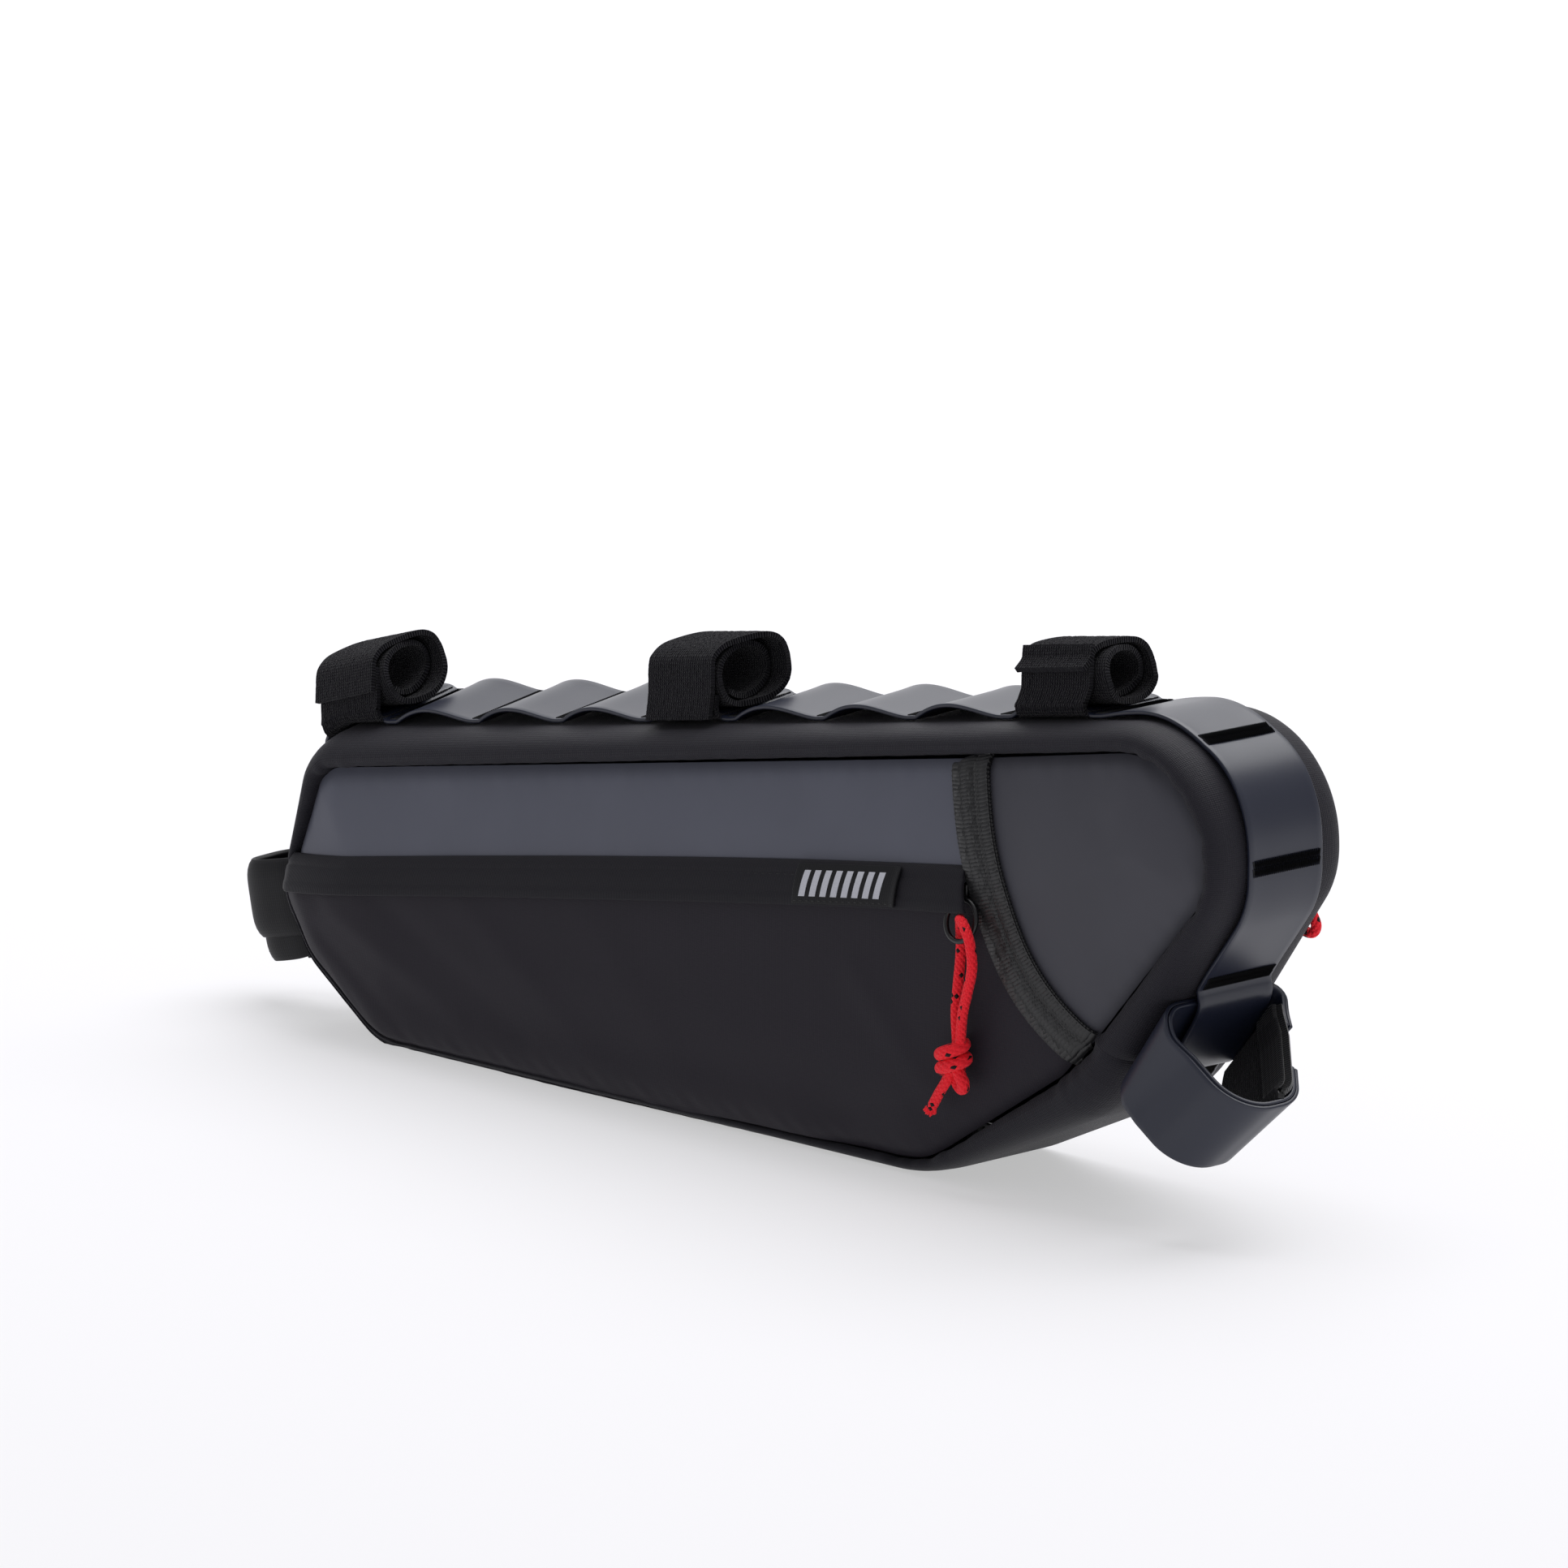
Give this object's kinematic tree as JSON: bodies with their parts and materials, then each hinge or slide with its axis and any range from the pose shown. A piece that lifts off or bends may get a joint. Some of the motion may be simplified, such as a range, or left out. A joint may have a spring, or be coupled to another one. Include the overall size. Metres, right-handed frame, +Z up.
{
  "type": "bicycle frame bag",
  "caption": "Padded black and grey cloth bag for a bicycle's frame triangle, with a zip under a flap on each side, a daisy chain strip round its edge and rolled hook-and-loop straps.",
  "frame": {"origin": "on the floor under the middle of the bag's box, which leaves out the red pull cords", "axes": "+X from the tail at the seat tube to the nose at the head tube, -Y the front side with the grey nose panel, +Z up"},
  "size_m": [0.4482, 0.0757, 0.166],
  "materials": {
    "black_nylon": "satin fine ripstop weave",
    "grey_coated_cloth": "matte coated cloth",
    "strip_sheeting": "satin blue-grey sheeting",
    "hook_and_loop": "black hook-and-loop pile",
    "webbing": "ribbed black grosgrain",
    "red_cord": "braided red cord with small black flecks",
    "black_metal": "black painted wire and die casting"
  },
  "bodies": {
    "root": {"gusset_top": "black_nylon", "gusset_bottom": "black_nylon", "front_upper_panel": "grey_coated_cloth", "front_lower_panel": "black_nylon", "nose_panel": "grey_coated_cloth", "back_upper_panel": "grey_coated_cloth", "back_lower_panel": "black_nylon", "webbing_trim": "webbing", "zip_tape_front": "black_nylon", "zip_flap_front": "black_nylon", "zip_slider_front": "black_metal", "pull_ring_front": "black_metal", "zip_tape_back": "black_nylon", "zip_flap_back": "black_nylon", "zip_slider_back": "black_metal", "label_tab": "webbing", "accessory_strip": "strip_sheeting", "top_strap_tail": "hook_and_loop", "top_strap_middle": "hook_and_loop", "top_strap_nose": "hook_and_loop", "seat_tube_strap": "webbing", "down_tube_strap": "strip_sheeting", "down_tube_hook": "hook_and_loop", "pull_cord_front": "red_cord", "pull_tail_front": "red_cord", "pull_knot_front": "red_cord", "pull_cord_back": "red_cord"}
  },
  "joints": []
}
